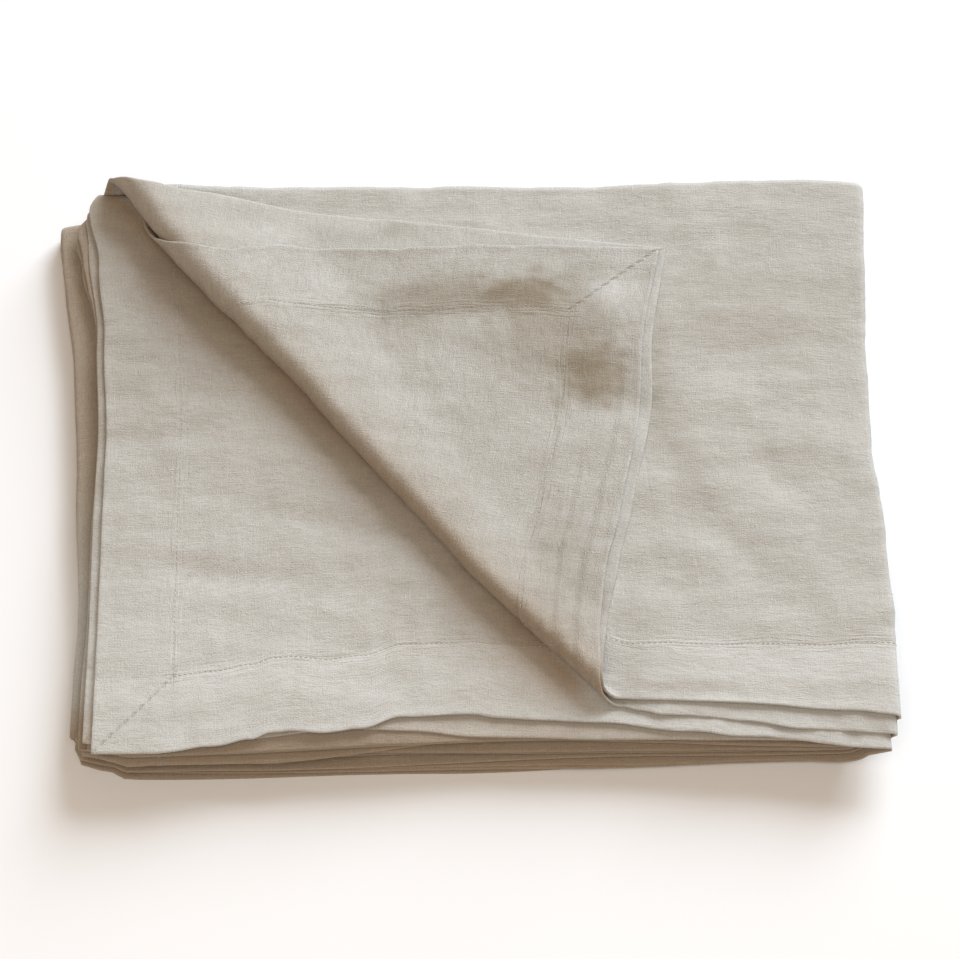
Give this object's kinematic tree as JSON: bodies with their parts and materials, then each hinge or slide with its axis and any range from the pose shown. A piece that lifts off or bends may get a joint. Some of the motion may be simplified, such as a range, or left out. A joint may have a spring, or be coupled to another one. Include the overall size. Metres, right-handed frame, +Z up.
{
  "type": "folded tablecloth",
  "caption": "Rectangular linen tablecloth with a wide mitred hem, folded into a flat stack, one corner of its top layers turned back diagonally.",
  "frame": {"origin": "middle of the folded stack's footprint, on the surface it rests on", "axes": "+X along the stack's long side, towards the closed side of the last fold; +Y towards the closed side of the third fold, away from the open hem edges; +Z up"},
  "size_m": [0.5342, 0.4156, 0.0578],
  "materials": {
    "linen": "matt washed linen in a plain weave"
  },
  "bodies": {
    "root": {"tablecloth": "linen"}
  },
  "joints": []
}
